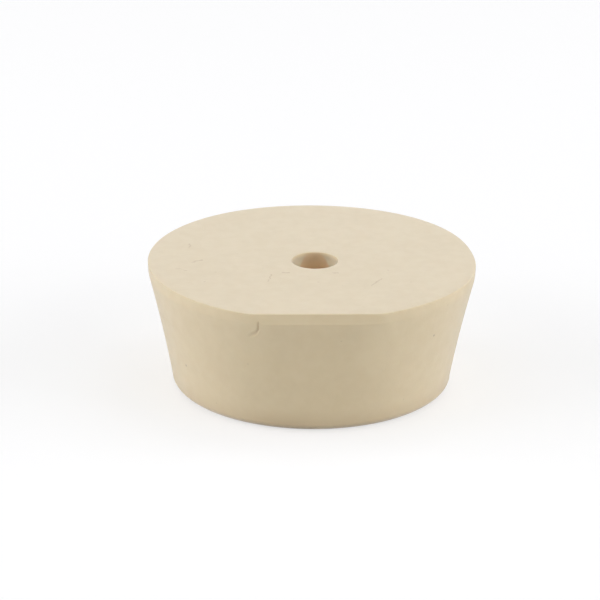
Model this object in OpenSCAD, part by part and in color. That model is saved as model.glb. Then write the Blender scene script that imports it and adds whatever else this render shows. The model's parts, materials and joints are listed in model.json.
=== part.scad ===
// Rubber stopper, size 12, with one hole
//
// A solid plug, moulded in one piece. It tapers from the wide face that is pushed on
// down to the foot that goes into the neck of a flask. A short straight band runs
// round the wide face, the front of that rim is drawn in to a flat, and one hole
// goes straight through for a tube or a thermometer.
//
// Millimetres. The origin is the centre of the foot's underside, +Z points to the
// wide face, and the flat on the rim faces -Y.

/* [Body] */
// Width across the wide face
top_d = 64; // [58:0.5:70]
// Width across the foot, measured as if its edge were sharp
foot_d = 54; // [46:0.5:56]
// Height from the underside of the foot to the wide face
height = 25; // [20:0.5:35]

/* [Rim] */
// Height of the straight band round the wide face
band_h = 2; // [1:0.1:4]
// How far the flat is set in from the full circle of the rim
flat_depth = 2.5; // [0.5:0.1:3.5]
// Height above the underside at which the flat has faded into the wall
flat_fade_h = 3; // [0:0.5:10]

/* [Hole] */
// Width of the hole
hole_d = 9.1; // [6:0.1:14]
// Distance of the hole's axis from the body's axis, towards +X
hole_shift_right = 0.5; // [0:0.1:2]
// and towards the flat, -Y
hole_shift_front = 0.5; // [0:0.1:2]

/* [Edges] */
// Radius of the rounded edge round the foot
foot_edge_r = 1.8; // [0.5:0.1:3]

/* [Hidden] */

// Facets in each full circle
$fn = 144;

// How far a cutter reaches past the surface that it cuts
cut_over = 1;

top_r = top_d / 2;
foot_r = foot_d / 2;

// Underside of the band, where the taper starts
band_z = height - band_h;

// Rise of the wall's radius for each millimetre of height, and its lean in degrees
wall_slope = (top_r - foot_r) / band_z;
wall_lean = atan(wall_slope);

// Distance of the flat from the body's axis
flat_r = top_r - flat_depth;

// Slope of the drawn-in wall, from the flat down to where it meets the taper
fade_r = foot_r + wall_slope * flat_fade_h;
fade_slope = (flat_r - fade_r) / (band_z - flat_fade_h);

// Right half of the upright section through the axis, without the hole
module half_section() {
    // From the sharp corner of the foot to each end of its rounded edge
    edge_run = foot_edge_r / tan(45 + wall_lean / 2);

    polygon([
        [0, 0],
        [foot_r - edge_run, 0],
        [foot_r + edge_run * sin(wall_lean), edge_run * cos(wall_lean)],
        [top_r, band_z],
        [top_r, height],
        [0, height],
    ]);
    translate([foot_r - edge_run, foot_edge_r])
        circle(r = foot_edge_r);
}

// What the flat takes off: upright beside the band, then sloping out to meet the wall
module flat_cut() {
    outer_r = top_r + cut_over;
    low_z = -cut_over;
    low_r = fade_r + fade_slope * (low_z - flat_fade_h);

    rotate([90, 0, 90])
        linear_extrude(height = top_d, center = true)
            polygon([
                [-flat_r, height + cut_over],
                [-flat_r, band_z],
                [-low_r, low_z],
                [-outer_r, low_z],
                [-outer_r, height + cut_over],
            ]);
}

module hole() {
    translate([hole_shift_right, -hole_shift_front, -cut_over])
        cylinder(d = hole_d, h = height + 2 * cut_over);
}

module stopper() {
    color([0.88, 0.82, 0.71])
        difference() {
            rotate_extrude()
                half_section();
            flat_cut();
            hole();
        }
}

stopper();
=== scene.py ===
"""Rubber stopper with one hole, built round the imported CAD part.

The stopper is one moulded piece, so there is one visible mesh. It is made of rings of
points that run from the foot of the hole, across the underside, up the wall, over the rim
and the wide face, and back down the hole. Every ring has the same columns, so the mesh is
closed. The columns and rings lie closer together round the small cut under the rim.

Lengths in the shape and in the material are in millimetres, as on a drawing; the mesh is
turned into metres as it is made. The floor, lamps and camera are in metres.
"""
import json
import math

import bpy
import numpy as np
from mathutils import Matrix, Vector


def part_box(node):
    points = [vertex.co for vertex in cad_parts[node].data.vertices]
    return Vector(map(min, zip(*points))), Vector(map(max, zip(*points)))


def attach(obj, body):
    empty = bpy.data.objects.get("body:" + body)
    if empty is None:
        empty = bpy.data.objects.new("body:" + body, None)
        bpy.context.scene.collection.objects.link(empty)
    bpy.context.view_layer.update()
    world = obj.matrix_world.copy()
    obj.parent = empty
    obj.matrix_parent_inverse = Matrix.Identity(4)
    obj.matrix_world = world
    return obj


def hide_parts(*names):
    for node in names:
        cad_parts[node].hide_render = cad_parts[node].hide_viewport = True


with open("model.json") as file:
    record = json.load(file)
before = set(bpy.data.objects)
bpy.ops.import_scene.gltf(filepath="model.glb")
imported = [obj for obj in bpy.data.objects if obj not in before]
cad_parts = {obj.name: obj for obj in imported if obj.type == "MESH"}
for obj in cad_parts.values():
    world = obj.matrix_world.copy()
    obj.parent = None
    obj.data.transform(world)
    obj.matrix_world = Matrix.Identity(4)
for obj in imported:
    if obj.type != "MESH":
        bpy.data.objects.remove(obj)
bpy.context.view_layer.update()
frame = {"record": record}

MM = 0.001

# ---------------------------------------------------------------- sizes, in millimetres

CAD_LO, CAD_HI = (np.array(corner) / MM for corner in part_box("stopper"))
HOLE = next(m for m in frame["record"]["mounts"] if m["name"] == "tube_hole")

TOP_R = CAD_HI[0]                  # the wide face
HEIGHT = CAD_HI[2]
FLAT_R = -CAD_LO[1]                # from the axis to the flat on the rim
HOLE_R = HOLE["dims"]["r_mm"]
HOLE_X, HOLE_Y = (p / MM for p in HOLE["pos_m"][:2])

FOOT_R = 27.0                      # the taper, run on down to the underside
BAND_H = 2.0                       # the straight band under the wide face
BAND_LEAN = 0.04                   # inward lean of the band, per mm down
BAND_SOFT = 0.12                   # how gently the band runs into the taper, at the sides
BAND_CRISP = 0.03                  # and on the flat
BAND_SOFT_AZ = (0.35, 0.75)        # azimuths, in radians, between which that changes
FOOT_EDGE_R = 1.8                  # rounding round the foot
FLAT_FADE_H = 3.0                  # where the flat has faded into the taper
FLAT_LEAN = 0.25                   # outward lean of the flat on the band, per mm down
FLAT_BLEND = 0.6                   # how gently the flat's ends run into the round, at the rim
BAND_BLEND = 1.6                   # at the band's foot
WALL_BLEND = 3.6                   # and on the wall
WALL_BLEND_DROP = 7.0              # how far below the band it has become that gentle
WALL_BLEND_RISE = 0.5              # and how far above the band's foot it starts to
RIM_EDGE_R = 0.13                  # the crisp edges
HOLE_EDGE_R = 0.07
WALL_BOW = 0.25                    # how far the taper is hollow at mid-height

BAND_Z = HEIGHT - BAND_H
WALL_SLOPE = (TOP_R - BAND_LEAN * BAND_H - FOOT_R) / BAND_Z
WALL_LEAN = math.atan(WALL_SLOPE)

# Where the moulding strays from a true round: azimuth in degrees (0 is the front, + is to
# the right), how far it stands out, and over how many degrees to each side
RIM_SWELLS = [(-100, 0.2, 50), (65, 0.25, 35), (98, -0.25, 25), (130, 0.1, 25), (180, -0.45, 45)]
FOOT_SWELLS = [(-30, 0.2, 130)]

# The cut under the rim, as points (distance along the wall to the right of its start, z,
# half width, depth). It starts on the band, runs down and curls away to the left.
CUT_AZ = math.radians(-20.4)
CUT_FLOOR = 0.15                   # share of the half width that is at full depth
# The cut is darkened with painted shade, in full from this depth on
CUT_SHADE_FULL = 0.2                   # depth from which the cut has its full tint
CUT_PATH = [
    (0.04, 23.25, 0.27, 0.16),
    (0.02, 22.60, 0.32, 0.23),
    (-0.06, 21.75, 0.34, 0.22),
    (-0.45, 21.10, 0.52, 0.17),
    (-1.10, 20.60, 0.60, 0.13),
    (-2.00, 20.05, 0.36, 0.04),
]


# ---------------------------------------------------------------- the shape of the body

def smooth_min(a, b, k):
    """The lower of a and b, rounded over where they cross; k is the blend's width."""
    h = np.clip(0.5 + 0.5 * (b - a) / k, 0, 1)
    return b + (a - b) * h - k * h * (1 - h)


def smooth_step(x, x0, x1):
    """0 up to x0, 1 from x1 on, and smooth between."""
    t = np.clip((x - x0) / (x1 - x0), 0, 1)
    return t * t * (3 - 2 * t)


def swelling(az, swells):
    """How far the given swellings stand out together, at azimuth az."""
    total = 0.0
    for centre, out, reach in swells:
        away = (np.degrees(az) - centre + 180) % 360 - 180
        total = total + out * (1 - smooth_step(np.abs(away), 0, reach))
    return total


def unevenness(az, z):
    """How far the moulding strays from a true round: the foot's stray changes into the rim's."""
    t = z / HEIGHT
    return swelling(az, RIM_SWELLS) * t + swelling(az, FOOT_SWELLS) * (1 - t)


def flat_inset(az, lean, blend):
    """How far the flat on the rim lies inside the full round.

    From 60 degrees off the front the flat is out of reach, so any far distance will do.
    """
    forward, far = np.cos(az), 2 * TOP_R
    chord = np.where(forward > 0.5, (FLAT_R + lean) / np.maximum(forward, 0.5), far)
    full = TOP_R + unevenness(az, BAND_Z)
    return full - smooth_min(full, chord, blend)


def wall_radius(az, z):
    """Distance of the outer wall from the axis, at azimuth az and height z."""
    up = np.clip(z / BAND_Z, 0, 1)
    band = TOP_R - BAND_LEAN * (HEIGHT - z)
    soft = BAND_CRISP + (BAND_SOFT - BAND_CRISP) * smooth_step(np.abs(az), *BAND_SOFT_AZ)
    section = smooth_min(FOOT_R + WALL_SLOPE * z, band, soft)
    bow = WALL_BOW * 4 * up * (1 - up)
    fade = np.clip((z - FLAT_FADE_H) / (BAND_Z - FLAT_FADE_H), 0, 1)
    lean = FLAT_LEAN * (HEIGHT - np.maximum(z, BAND_Z))
    blend = (
        FLAT_BLEND
        + (BAND_BLEND - FLAT_BLEND) * smooth_step(HEIGHT - z, 0, BAND_H)
        + (WALL_BLEND - BAND_BLEND) * smooth_step(BAND_Z - z, -WALL_BLEND_RISE, WALL_BLEND_DROP)
    )
    inset = flat_inset(az, lean, blend) * fade
    return section - bow - inset + unevenness(az, z)


def cut_depth(az, z):
    """Depth of the cut under the rim at each point of the wall."""
    along = (az - CUT_AZ) * FLAT_R
    best = np.zeros_like(along)
    for (u0, z0, w0, d0), (u1, z1, w1, d1) in zip(CUT_PATH, CUT_PATH[1:]):
        du, dz = u1 - u0, z1 - z0
        t = np.clip(((along - u0) * du + (z - z0) * dz) / (du * du + dz * dz), 0, 1)
        away = np.hypot(along - u0 - t * du, z - z0 - t * dz)
        width, depth = w0 + (w1 - w0) * t, d0 + (d1 - d0) * t
        best = np.maximum(best, depth * (1 - smooth_step(away / width, CUT_FLOOR, 1.0)))
    return best


# ---------------------------------------------------------------- columns and rings

def spaced(start, end, step):
    """Evenly spaced values from start up to, but not including, end."""
    count = max(1, round(abs(end - start) / step))
    return list(np.linspace(start, end, count, endpoint=False))


def columns():
    """Azimuths of the mesh's columns, in radians; 0 is the front and + is to the right."""
    cut = math.degrees(CUT_AZ)
    near_left, curl_left = cut - 8, cut - 4.6
    stem_left, stem_right, near_right = cut - 0.9, cut + 0.9, cut + 4
    coarse, near, curl, stem = 0.95, 0.4, 0.17, 0.075
    degrees = (
        spaced(-180, near_left, coarse)
        + spaced(near_left, curl_left, near)
        + spaced(curl_left, stem_left, curl)
        + spaced(stem_left, stem_right, stem)
        + spaced(stem_right, near_right, near)
        + spaced(near_right, 180, coarse)
    )
    return np.radians(np.array(degrees))


def ring(az, radius, z, centre=(0.0, 0.0)):
    """One ring of points at the azimuths az."""
    return np.stack([
        centre[0] + radius * np.sin(az),
        centre[1] - radius * np.cos(az),
        np.broadcast_to(z, az.shape),
    ], axis=1)


def outline(az, z, inset):
    """A ring set in from the outer wall."""
    return ring(az, wall_radius(az, np.full_like(az, z)) - inset, z)


def quarter(count):
    """Angles of the points of a rounded edge, in radians, without its ends."""
    return np.radians(np.linspace(0, 90, count + 2)[1:-1])


def blend_rings(first, last, count):
    """The rings between two others, evenly spaced, without those two."""
    return [first + (last - first) * t for t in np.linspace(0, 1, count + 2)[1:-1]]


def foot_rings(az):
    """The rounded edge round the foot, from the underside up to the wall."""
    edge_run = FOOT_EDGE_R / math.tan(math.pi / 4 + WALL_LEAN / 2)
    centre_r = FOOT_R - edge_run
    rings = []
    for a in np.linspace(0, math.pi / 2 - WALL_LEAN, 12):
        r = centre_r + FOOT_EDGE_R * math.sin(a)
        z = FOOT_EDGE_R * (1 - math.cos(a))
        stray = unevenness(az, np.full_like(az, z)) * (z / FOOT_EDGE_R)
        rings.append(ring(az, r + stray, z))
    return rings


def wall_rings(az):
    """The wall, from the foot's rounded edge up to the rim's, with the cut in it."""
    foot_top = FOOT_EDGE_R * (1 - math.sin(WALL_LEAN))
    cut_low, lip_low, lip_top = 19.5, BAND_Z - 0.75, BAND_Z + 0.42
    wall_top = HEIGHT - RIM_EDGE_R
    coarse, cut, lip, band = 0.45, 0.1, 0.045, 0.16
    heights = (
        spaced(foot_top, cut_low, coarse)[1:]
        + spaced(cut_low, lip_low, cut)
        + spaced(lip_low, lip_top, lip)
        + spaced(lip_top, wall_top, band)
        + [wall_top]
    )
    rings = []
    for z in heights:
        zs = np.full_like(az, z)
        rings.append(ring(az, wall_radius(az, zs) - cut_depth(az, zs), z))
    return rings


def cut_shade_mask(points):
    """Painted shade in the cut: 1 at the deepest of it, 0 off it, for each point of the mesh."""
    az = np.arctan2(points[:, 0], -points[:, 1])
    on_wall = np.hypot(points[:, 0], points[:, 1]) > FOOT_R
    return np.clip(cut_depth(az, points[:, 2]) / CUT_SHADE_FULL, 0, 1) * on_wall


def stopper_rings(az):
    """All the rings, in order round the section. The last one joins the first."""
    def hole(z, grow=0.0):
        return ring(az, np.full_like(az, HOLE_R + grow), z, (HOLE_X, HOLE_Y))

    foot = foot_rings(az)
    hole_low = [
        hole(HOLE_EDGE_R * (1 - math.sin(a)), HOLE_EDGE_R * (1 - math.cos(a)))
        for a in quarter(2)
    ]
    under_start, top_end = hole(0.0, HOLE_EDGE_R), hole(HEIGHT, HOLE_EDGE_R)
    rim = [
        outline(az, HEIGHT - RIM_EDGE_R, RIM_EDGE_R * (1 - math.cos(a)))
        + [0, 0, RIM_EDGE_R * math.sin(a)]
        for a in quarter(3)
    ]
    top_start = outline(az, HEIGHT - RIM_EDGE_R, RIM_EDGE_R) + [0, 0, RIM_EDGE_R]
    hole_high = [
        hole(HEIGHT - HOLE_EDGE_R * (1 - math.sin(a)), HOLE_EDGE_R * (1 - math.cos(a)))
        for a in quarter(2)[::-1]
    ]
    return (
        hole_low
        + [under_start]
        + blend_rings(under_start, foot[0], 8)
        + foot
        + wall_rings(az)
        + rim
        + [top_start]
        + blend_rings(top_start, top_end, 24)
        + [top_end]
        + hole_high
        + [hole(z) for z in np.linspace(HEIGHT - HOLE_EDGE_R, HOLE_EDGE_R, 16)]
    )


def make_stopper():
    """The mesh: four-sided faces between each ring and the next."""
    az = columns()
    rings = np.array(stopper_rings(az))
    n_rings, n_cols = rings.shape[:2]
    index = np.arange(n_rings * n_cols).reshape(n_rings, n_cols)
    above = np.roll(index, -1, axis=0)
    quads = np.stack([
        index, np.roll(index, -1, axis=1), np.roll(above, -1, axis=1), above,
    ], axis=-1).reshape(-1, 4)

    mesh = bpy.data.meshes.new("stopper_body")
    points = rings.reshape(-1, 3)
    mesh.from_pydata((points * MM).tolist(), [], quads.tolist())
    # The cut's painted shade, kept on the mesh for the material
    shade_marks = mesh.attributes.new("cut", "FLOAT", "POINT")
    shade_marks.data.foreach_set("value", cut_shade_mask(points))
    mesh.polygons.foreach_set("use_smooth", [True] * len(mesh.polygons))
    mesh.validate()
    body = bpy.data.objects.new("stopper_body", mesh)
    bpy.context.scene.collection.objects.link(body)
    return body


# ---------------------------------------------------------------- the rubber

class Nodes:
    """A short way to add shader nodes. An input is a number, a colour or a node's output.

    add sets a node's inputs by name, or by number as i0, i1 and so on, and returns the node.
    The methods from math on return an output, which can be the next one's input.
    """

    def __init__(self, tree):
        self.tree = tree
        tree.nodes.clear()

    def add(self, kind, settings=None, **inputs):
        made = self.tree.nodes.new(kind)
        for name, value in (settings or {}).items():
            setattr(made, name, value)
        for name, value in inputs.items():
            self.put(made, name.replace("_", " "), value)
        return made

    def put(self, made, socket, value):
        numbered = socket[0] == "i" and socket[1:].isdigit()
        target = made.inputs[int(socket[1:]) if numbered else socket]
        if isinstance(value, bpy.types.NodeSocket):
            self.tree.links.new(value, target)
        else:
            target.default_value = value

    def math(self, operation, a, b=0.0, c=0.0):
        made = self.add("ShaderNodeMath", {"operation": operation}, i0=a, i1=b, i2=c)
        return made.outputs[0]

    def times(self, first, *others):
        for other in others:
            first = self.math("MULTIPLY", first, other)
        return first

    def length(self, x, y):
        return self.math("SQRT", self.math("MULTIPLY_ADD", x, x, self.times(y, y)))

    def ramp(self, value, low, high, to_low=0.0, to_high=1.0):
        """to_low up to low, to_high from high on, and smooth between."""
        made = self.add("ShaderNodeMapRange", {"interpolation_type": "SMOOTHSTEP"})
        for socket, number in zip(range(5), (value, low, high, to_low, to_high)):
            self.put(made, f"i{socket}", number)
        return made.outputs[0]

    def mix(self, factor, a, b):
        """Colour a where factor is 0, b where it is 1."""
        made = self.add("ShaderNodeMix", {"data_type": "RGBA"}, i0=factor, i6=a, i7=b)
        return made.outputs[2]

    def noise(self, where, scale, detail=2.0, roughness=0.5):
        """Noise from 0 to 1; its largest spots are about 1 / scale mm across."""
        made = self.add(
            "ShaderNodeTexNoise", Vector=where, Scale=scale, Detail=detail, Roughness=roughness
        )
        return made.outputs["Fac"]

    def about_zero(self, noise):
        return self.math("SUBTRACT", noise, 0.5)

    def seen(self):
        """1 for rays from the camera, straight, mirrored or through glass; 0 for the rest."""
        path = self.add("ShaderNodeLightPath").outputs
        return self.math(
            "MAXIMUM", path["Is Camera Ray"],
            self.math("MAXIMUM", path["Is Glossy Ray"], path["Is Transmission Ray"]),
        )


# Colours are linear. The rubber, what it is mottled with, and the paler colour of its patches of
# painted light
CREAM = (0.69, 0.575, 0.375, 1)
CREAM_WARM = (0.665, 0.548, 0.35, 1)
CREAM_PAINTED_LIGHT = (0.78, 0.655, 0.43, 1)

# The foot's and the cut's colours below are painted shade; the scuffs and specks are marks on the
# rubber
FOOT_SHADE_TINT = (0.58, 0.455, 0.28, 1)
CUT_SHADE_TINT = (0.50, 0.36, 0.22, 1)
SCUFF_TINT = (0.50, 0.363, 0.196, 1)
SPECK_TINT = (0.42, 0.33, 0.21, 1)

# Painted shade in the bore, from 3 mm below the face on, and all the way up its far side. The SIDE
# colours, painted shade too, are above it. Each has a paler one for further down: painted light
# where less light comes.
BORE_SIDE_SHADING = (0.53, 0.455, 0.315, 1)
BORE_SIDE_DEEP_SHADING = (0.79, 0.70, 0.51, 1)
BORE_FAR_SHADE = (0.61, 0.445, 0.27, 1)
BORE_FAR_SHADE_DEEP = (0.89, 0.655, 0.405, 1)

# Heights between which the wall's looks give way to the wide face's
FACE_FROM, FACE_FULL = HEIGHT - 0.2, HEIGHT - 0.03

# Two patches of painted light on the wall, below the ends of the flat
LIT_PATCH_X = 12.0                      # from the middle of the front to the middle of a paler patch
LIT_PATCH_REACH = 6.5                   # from there to its edge
LIT_PATCH_FROM, LIT_PATCH_FULL = 4.0, 21.0   # heights between which it comes in
LIT_PATCH_ON_BAND = 0.6                 # what is left of it on the band
LIT_PATCH_AMOUNT = 0.5

# Painted shade at the foot: darker towards the bottom, on the underside, and on a part left of the
# front
FOOT_SHADE_AMOUNT, FOOT_SHADE_TOP = 0.74, 5.0     # amount at the underside, and where it ends
SHADE_PATCH_X, SHADE_PATCH_REACH = -7.0, 9.0         # the browner part left of the front
SHADE_PATCH_AMOUNT, SHADE_PATCH_FROM, SHADE_PATCH_TOP = 0.4, 0.5, 6.0

# Strength of the painted shade in the cut
CUT_SHADE_AMOUNT = 0.3
SPECK_AMOUNT = 0.35
TICK_AMOUNT = 0.85

# Small dark ticks on the wall: azimuth in degrees, z
TICKS = [(48.5, 17.0), (-59.0, 8.7)]
TICK_R = 0.32
TICK_CORE = 0.4                    # share of that at full strength

# Scuffs on the wide face: ends (x, y), half width and strength
SCUFFS = [
    ((10.9, -14.4), (13.1, -10.7), 0.26, 0.8),
    ((-8.9, -12.0), (-8.1, -8.4), 0.22, 0.8),
    ((-5.8, -7.3), (-4.7, -7.2), 0.24, 0.8),
    ((3.9, -7.5), (4.6, -7.5), 0.25, 0.9),
    ((-23.4, -1.3), (-21.6, -0.2), 0.4, 0.7),
    ((-26.6, -4.6), (-24.6, -6.0), 0.3, 0.6),
    ((-24.0, 6.8), (-23.9, 8.7), 0.28, 0.7),
    ((-18.9, -7.2), (-18.8, -7.0), 0.25, 0.8),
    ((-20.9, -12.2), (-20.8, -12.0), 0.25, 0.8),
    ((14.5, -6.2), (14.6, -6.0), 0.25, 0.8),
    ((18.8, -12.7), (18.9, -12.5), 0.25, 0.8),
    ((0.9, -12.7), (1.0, -12.5), 0.25, 0.8),
]
SCUFF_WAVER = 1.3                  # how far the noise, from 0 to 1, moves them sideways
SCUFF_CORE = 0.3                   # share of the half width that is at full strength


def scuff_mask(n, in_mm, x, y):
    """How strong the scuffs are at x, y: 0 off them. They waver off straight lines."""
    x = n.math("MULTIPLY_ADD", n.about_zero(n.noise(in_mm, 0.6, 1.0)), SCUFF_WAVER, x)
    y = n.math("MULTIPLY_ADD", n.about_zero(n.noise(in_mm, 0.75, 1.0)), SCUFF_WAVER, y)
    total = 0.0
    for (x0, y0), (x1, y1), half_width, strength in SCUFFS:
        dx, dy = x1 - x0, y1 - y0
        square = dx * dx + dy * dy
        px, py = n.math("SUBTRACT", x, x0), n.math("SUBTRACT", y, y0)
        dot = n.math("MULTIPLY_ADD", px, dx / square, n.times(py, dy / square))
        along = n.math("MINIMUM", n.math("MAXIMUM", dot, 0.0), 1.0)
        off_x = n.math("MULTIPLY_ADD", along, -dx, px)
        off_y = n.math("MULTIPLY_ADD", along, -dy, py)
        away = n.length(off_x, off_y)
        one = n.ramp(away, half_width * SCUFF_CORE, half_width, strength, 0.0)
        total = n.math("MAXIMUM", total, one)
    return total


def tick_mask(n, in_mm):
    """1 on the small ticks on the wall."""
    total = 0.0
    for azimuth, z in TICKS:
        az = math.radians(azimuth)
        r = float(wall_radius(np.array([az]), np.array([z]))[0])
        spot = (r * math.sin(az), -r * math.cos(az), z)
        away = n.add("ShaderNodeVectorMath", {"operation": "DISTANCE"}, i0=in_mm, i1=spot)
        one = n.ramp(away.outputs["Value"], TICK_R * TICK_CORE, TICK_R, 1.0, 0.0)
        total = n.math("MAXIMUM", total, one)
    return total


def speck_mask(n, in_mm):
    """How strong the specks and ticks are: a cell of 2.5 mm seldom holds a speck."""
    cells = n.add("ShaderNodeTexVoronoi", {"feature": "F1"}, Vector=in_mm, Scale=0.4)
    rare = n.ramp(n.noise(cells.outputs["Position"], 3.1, 0.0), 0.62, 0.64)
    speck = n.ramp(cells.outputs["Distance"], 0.035, 0.075, 1.0, 0.0)
    specks = n.times(speck, rare, SPECK_AMOUNT)
    return n.math("MAXIMUM", specks, n.times(tick_mask(n, in_mm), TICK_AMOUNT))


def painted_light_patches(n, x, y, z):
    """1 on the two patches of painted light on the wall, below the ends of the flat; less on the
    band.
    """
    from_middle = n.math("SUBTRACT", n.math("ABSOLUTE", x), LIT_PATCH_X)
    across = n.ramp(n.math("ABSOLUTE", from_middle), 0.0, LIT_PATCH_REACH, 1.0, 0.0)
    rise = n.ramp(z, LIT_PATCH_FROM, LIT_PATCH_FULL)
    on_band = n.ramp(z, BAND_Z - 0.3, BAND_Z + 0.3, 1.0, LIT_PATCH_ON_BAND)
    below_face = n.ramp(z, FACE_FROM, FACE_FULL, 1.0, 0.0)
    in_front = n.math("LESS_THAN", y, 0.0)
    return n.times(across, n.times(rise, on_band, below_face), in_front)


def foot_shade(n, x, y, z):
    """How much painted shade the foot gets: below, all round its edge, and further up left of the
    front.
    """
    edge = n.ramp(z, 0.0, FOOT_SHADE_TOP, FOOT_SHADE_AMOUNT, 0.0)
    from_shade_patch = n.math("ABSOLUTE", n.math("ADD", x, -SHADE_PATCH_X))
    across = n.ramp(from_shade_patch, 0.0, SHADE_PATCH_REACH, SHADE_PATCH_AMOUNT, 0.0)
    low = n.ramp(z, SHADE_PATCH_FROM, SHADE_PATCH_TOP, 1.0, 0.0)
    shade_patch = n.times(across, low, n.math("LESS_THAN", y, 0.0))
    return n.math("ADD", edge, shade_patch)


def paint_bore_shading(n, colour, x, y, z):
    """The colour, with painted shade and painted light inside the hole. It comes in below the wide
    face.
    """
    off_x, off_y = n.math("SUBTRACT", x, HOLE_X), n.math("SUBTRACT", y, HOLE_Y)
    hole_r = n.length(off_x, off_y)
    in_bore = n.ramp(hole_r, HOLE_R + 0.02, HOLE_R + HOLE_EDGE_R, 1.0, 0.0)

    # Painted shade near the mouth's sides, and painted light further down
    below_mouth = n.times(in_bore, n.ramp(z, HEIGHT - 1.2, HEIGHT, 1.0, 0.0))
    side_shading = n.mix(n.ramp(z, HEIGHT - 2.2, HEIGHT - 0.6), BORE_SIDE_DEEP_SHADING, BORE_SIDE_SHADING)
    colour = n.mix(below_mouth, colour, side_shading)

    # Painted shade up to the face at the middle of the far side, and 3 mm short of it from 45
    # degrees off
    farness = n.math("DIVIDE", off_y, hole_r)
    shade_top = n.ramp(farness, 0.7, 1.0, HEIGHT - 3.0, HEIGHT)
    shaded = n.ramp(n.math("SUBTRACT", shade_top, z), -0.5, 0.8)
    far_shade = n.mix(n.ramp(z, HEIGHT - 3.4, HEIGHT - 0.8), BORE_FAR_SHADE_DEEP, BORE_FAR_SHADE)
    return n.mix(n.times(in_bore, shaded), colour, far_shade)


def rubber():
    """Matt moulded rubber. Its blotches, clouds and grain are about 11, 2 and 0.5 mm across."""
    made = bpy.data.materials.new("gum_rubber")
    made.use_nodes = True
    n = Nodes(made.node_tree)
    place = n.add("ShaderNodeTexCoord").outputs["Object"]
    in_mm = n.add("ShaderNodeVectorMath", {"operation": "SCALE"}, Vector=place, Scale=1 / MM)
    in_mm = in_mm.outputs[0]
    split = n.add("ShaderNodeSeparateXYZ", Vector=in_mm)
    x, y, z = (split.outputs[axis] for axis in "XYZ")

    blotches = n.about_zero(n.noise(in_mm, 0.09, 3.0, 0.6))
    clouds = n.noise(in_mm, 0.45, 3.0, 0.55)
    grain = n.noise(in_mm, 2.2, 3.0, 0.6)
    mottle = n.math("MULTIPLY_ADD", blotches, 1.1, n.about_zero(clouds))
    colour = n.mix(n.ramp(mottle, -0.35, 0.35), CREAM, CREAM_WARM)
    # Painted light: the two paler patches below the ends of the flat
    colour = n.mix(n.times(painted_light_patches(n, x, y, z), LIT_PATCH_AMOUNT), colour, CREAM_PAINTED_LIGHT)
    # Painted shade round the foot
    colour = n.mix(foot_shade(n, x, y, z), colour, FOOT_SHADE_TINT)
    # Painted shade in the cut, stronger where it is deeper
    cut = n.add("ShaderNodeAttribute", {"attribute_name": "cut"}).outputs["Fac"]
    colour = n.mix(n.times(cut, CUT_SHADE_AMOUNT), colour, CUT_SHADE_TINT)
    # Painted shade and painted light inside the hole
    colour = paint_bore_shading(n, colour, x, y, z)
    specks = speck_mask(n, in_mm)
    colour = n.mix(specks, colour, SPECK_TINT)
    on_face = n.ramp(z, FACE_FROM, FACE_FULL)
    broken = n.ramp(n.noise(in_mm, 1.6, 2.0), 0.36, 0.58, 0.3, 1.0)
    scuffs = n.times(scuff_mask(n, in_mm, x, y), on_face, broken)
    colour = n.mix(scuffs, colour, SCUFF_TINT)

    # Relief in mm: grain and clouds, with the scuffs and specks a little sunk
    relief = n.math("MULTIPLY_ADD", n.about_zero(grain), 0.02, n.times(n.about_zero(clouds), 0.03))
    relief = n.math("MULTIPLY_ADD", scuffs, -0.02, relief)
    relief = n.math("MULTIPLY_ADD", specks, -0.03, relief)
    bump = n.add("ShaderNodeBump", Strength=1.0, Distance=MM, Height=relief)

    rough = n.ramp(clouds, 0.3, 0.7, 0.56, 0.68)
    surface = n.add(
        "ShaderNodeBsdfPrincipled", Base_Color=colour, Roughness=rough, Normal=bump.outputs[0],
        Specular_IOR_Level=0.4, Sheen_Weight=0.5, Sheen_Roughness=0.5,
        Subsurface_Weight=0.12, Subsurface_Radius=(1.0, 0.6, 0.35), Subsurface_Scale=0.0012,
    )
    n.add("ShaderNodeOutputMaterial", Surface=surface.outputs[0])
    return made


# ---------------------------------------------------------------- floor, lamps and camera

FLOOR_HALF = 3.0                   # half the floor's width
FLOOR_GREY = 0.48
FLOOR_GLOW = 0.55                  # what the camera sees on top of the lit grey: both make white

LAMP_DISTANCE = 1.0
LAMP_HEIGHT = 0.7                  # the lamp's own, from edge to edge

WORLD_LIGHT = 0.1                  # the even light from all round

# A little cool, so that the flanks don't look yellower than the front
SIDE_LAMP_TINT = (0.945, 0.95, 1.0)
WHITE = (1.0, 1.0, 1.0)

# Lamps: name, azimuth and elevation in degrees, radiance, width, tint
LAMPS = [
    ("lamp_left", -89, 15.5, 4.24, 1.0, SIDE_LAMP_TINT),
    ("lamp_right", 86, 16, 3.66, 1.0, SIDE_LAMP_TINT),
    ("lamp_back_left", -135, 60, 1.0, 0.7, WHITE),
    ("lamp_back_right", 135, 60, 1.6, 0.7, WHITE),
    ("lamp_front_left", -45, 20, 1.58, 0.7, WHITE),
    ("lamp_front_right", 45, 20, 1.95, 0.7, WHITE),
]

# The camera, from the middle of the wide face: direction and roll in degrees, distance, and
# how far left of and below that middle it aims
CAMERA_AZ, CAMERA_EL, CAMERA_ROLL = -1.5, 20.5, 0.38
CAMERA_DISTANCE = 0.768
AIM_LEFT, AIM_DOWN = 0.00235, 0.00793
CAMERA_LENS, CAMERA_SENSOR = 235.5, 36     # in millimetres


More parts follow.
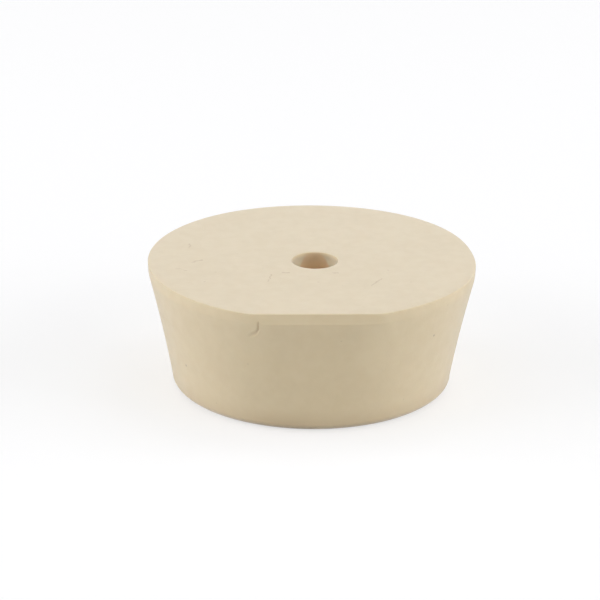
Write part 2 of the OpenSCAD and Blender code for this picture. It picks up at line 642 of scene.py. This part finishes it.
def floor_material():
    """Matt and pale to the lamps. To the camera it is white, less the stopper's shadow."""
    made = bpy.data.materials.new("floor_white")
    made.use_nodes = True
    n = Nodes(made.node_tree)
    seen = n.seen()
    matt = n.add("ShaderNodeBsdfDiffuse", Color=(FLOOR_GREY, FLOOR_GREY, FLOOR_GREY, 1)).outputs[0]
    glow = n.add("ShaderNodeEmission", Color=(1, 1, 1, 1), Strength=FLOOR_GLOW).outputs[0]
    lifted = n.add("ShaderNodeAddShader", i0=matt, i1=glow).outputs[0]
    out = n.add("ShaderNodeMixShader", i0=seen, i1=matt, i2=lifted).outputs[0]
    n.add("ShaderNodeOutputMaterial", Surface=out)
    return made


def make_floor():
    """A square floor at the height of the stopper's underside."""
    half = FLOOR_HALF
    corners = [(-half, -half, 0), (half, -half, 0), (half, half, 0), (-half, half, 0)]
    mesh = bpy.data.meshes.new("floor")
    mesh.from_pydata(corners, [], [(0, 1, 2, 3)])
    mesh.materials.append(floor_material())
    floor = bpy.data.objects.new("floor", mesh)
    bpy.context.scene.collection.objects.link(floor)
    return floor


def direction(azimuth, elevation):
    """The way from the stopper to a lamp or the camera. Azimuth 0 is the front, + is right."""
    az, el = math.radians(azimuth), math.radians(elevation)
    return Vector((
        math.sin(az) * math.cos(el),
        -math.cos(az) * math.cos(el),
        math.sin(el),
    ))


def facing(place, target, roll=0.0):
    """A rotation that points -Z from place at target, with Y up, then rolls about that line."""
    turn = (target - place).to_track_quat("-Z", "Y").to_matrix()
    return (turn @ Matrix.Rotation(roll, 3, "Z")).to_4x4()


def soft_box(name, azimuth, elevation, radiance, width, tint):
    """A lamp pointed at the middle of the stopper."""
    target = Vector((0, 0, HEIGHT * MM / 2))
    place = target + direction(azimuth, elevation) * LAMP_DISTANCE
    lamp = bpy.data.lights.new(name, "AREA")
    lamp.shape = "RECTANGLE"
    lamp.size, lamp.size_y = width, LAMP_HEIGHT
    lamp.energy = radiance * math.pi * lamp.size * lamp.size_y
    lamp.color = tint
    made = bpy.data.objects.new(name, lamp)
    made.matrix_world = Matrix.Translation(place) @ facing(place, target)
    bpy.context.scene.collection.objects.link(made)


def make_world():
    """Even light from all round, and white wherever the camera sees past the floor."""
    world = bpy.data.worlds.new("studio")
    bpy.context.scene.world = world
    world.use_nodes = True
    n = Nodes(world.node_tree)
    strength = n.ramp(n.seen(), 0.0, 1.0, WORLD_LIGHT, 1.0)
    sky = n.add("ShaderNodeBackground", Color=(1, 1, 1, 1), Strength=strength).outputs[0]
    n.add("ShaderNodeOutputWorld", Surface=sky)


def make_camera():
    """The camera at the photo's angle, from the front and above."""
    back = direction(CAMERA_AZ, CAMERA_EL)
    azimuth = math.radians(CAMERA_AZ)
    right = Vector((math.cos(azimuth), math.sin(azimuth), 0))
    up = back.cross(right)
    face_centre = Vector((0, 0, HEIGHT * MM))
    place = face_centre + back * CAMERA_DISTANCE
    aim = face_centre - right * AIM_LEFT - up * AIM_DOWN
    data = bpy.data.cameras.new("camera")
    data.sensor_width = CAMERA_SENSOR
    data.lens = CAMERA_LENS
    data.clip_start, data.clip_end = 0.05, 20
    camera = bpy.data.objects.new("camera", data)
    camera.matrix_world = Matrix.Translation(place) @ facing(place, aim, math.radians(CAMERA_ROLL))
    bpy.context.scene.collection.objects.link(camera)
    bpy.context.scene.camera = camera


# ---------------------------------------------------------------- the scene

bpy.context.scene.view_settings.view_transform = "Standard"

stopper = make_stopper()
stopper.data.materials.append(rubber())
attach(stopper, "root")
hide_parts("stopper")

make_floor()
make_world()
for lamp in LAMPS:
    soft_box(*lamp)
make_camera()
